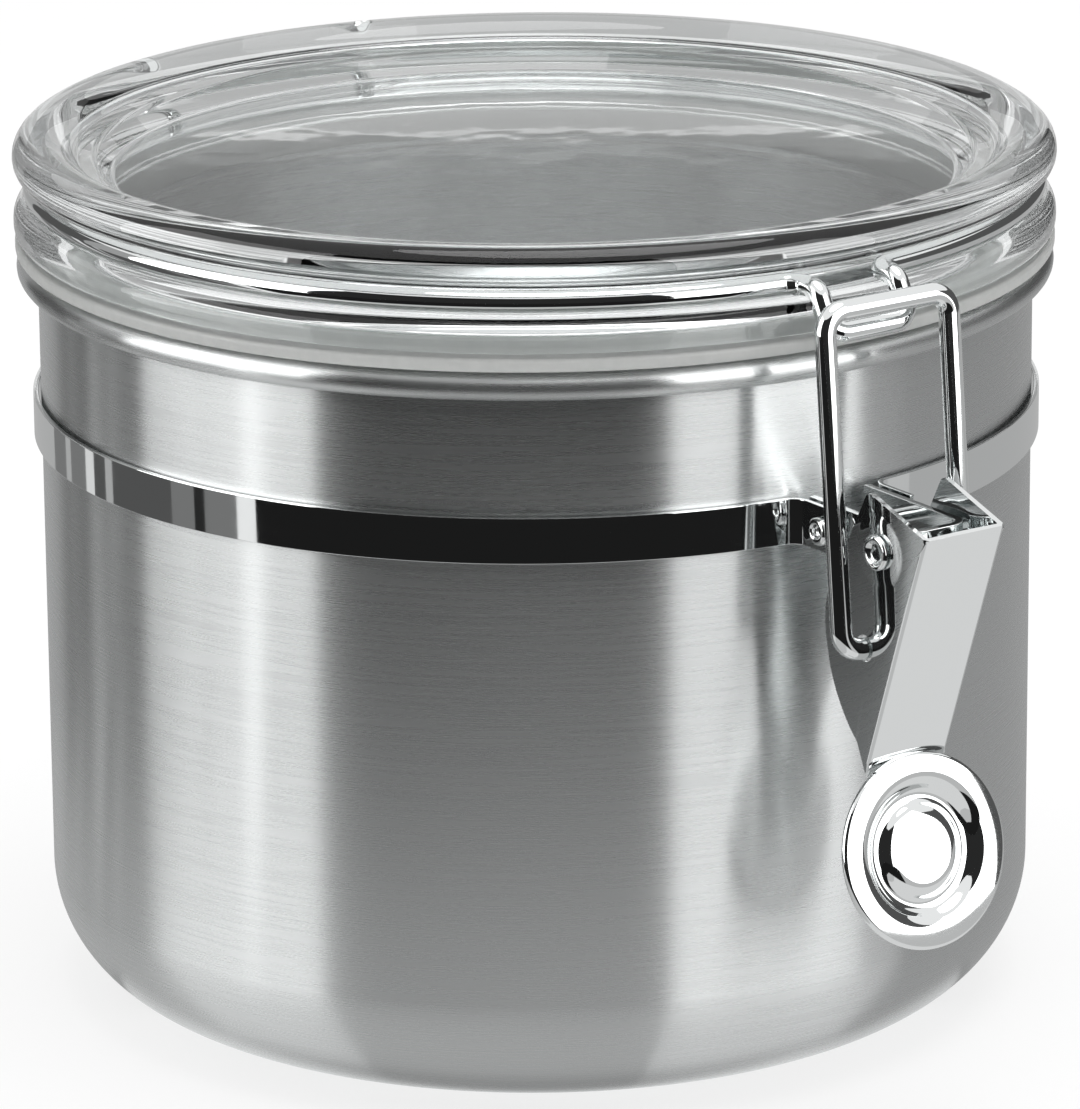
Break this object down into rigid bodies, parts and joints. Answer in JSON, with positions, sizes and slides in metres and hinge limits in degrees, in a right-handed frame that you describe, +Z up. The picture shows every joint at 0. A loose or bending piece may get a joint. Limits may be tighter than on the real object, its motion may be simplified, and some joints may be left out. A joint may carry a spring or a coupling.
{
  "type": "clamp-lid storage canister",
  "caption": "Straight-sided steel food canister with a rounded base and a clear dished lid, held by a wire ring, a rear hinge and an over-centre lever latch on a clamp band.",
  "frame": {"origin": "centre of the flat base, on the surface that the canister stands on", "axes": "+Z up along the can's axis, -Y towards the lever latch, +Y towards the lid hinge"},
  "size_m": [0.1196, 0.1451, 0.1015],
  "materials": {
    "brushed_stainless": "brushed round the can",
    "bright_steel": "polished bright",
    "clear_acrylic": "clear, glossy",
    "silicone_seal": "soft satin"
  },
  "bodies": {
    "can": {"can_body": "brushed_stainless", "clamp_band": "bright_steel", "latch_bracket": "bright_steel", "clamp_rivet": "bright_steel", "hinge_bracket": "bright_steel", "hinge_rivet_left": "bright_steel", "hinge_rivet_right": "bright_steel"},
    "lid": {"lid_cover": "clear_acrylic", "lid_gasket": "silicone_seal", "lid_ring_wire": "bright_steel"},
    "lever": {"latch_lever": "bright_steel", "lever_pivot_pin": "bright_steel"},
    "loop": {"latch_loop": "bright_steel"}
  },
  "joints": [
    {"name": "lid_hinge", "type": "hinge", "parent": "can", "child": "lid", "pos_m": [0, 0.0619, 0.0687], "axis": [-1, 0, 0], "range_deg": [0, 105]},
    {"name": "lever_flip", "type": "hinge", "parent": "can", "child": "lever", "pos_m": [0, -0.0724, 0.0686], "axis": [-1, 0, 0], "range_deg": [0, 120]},
    {"name": "loop_swing", "type": "hinge", "parent": "lever", "child": "loop", "pos_m": [0, -0.0699, 0.0571], "axis": [-1, 0, 0], "range_deg": [-144, 0]}
  ],
  "couplings": [
    {"joint": "loop_swing", "follows": "lever_flip", "ratio": -1.2}
  ]
}
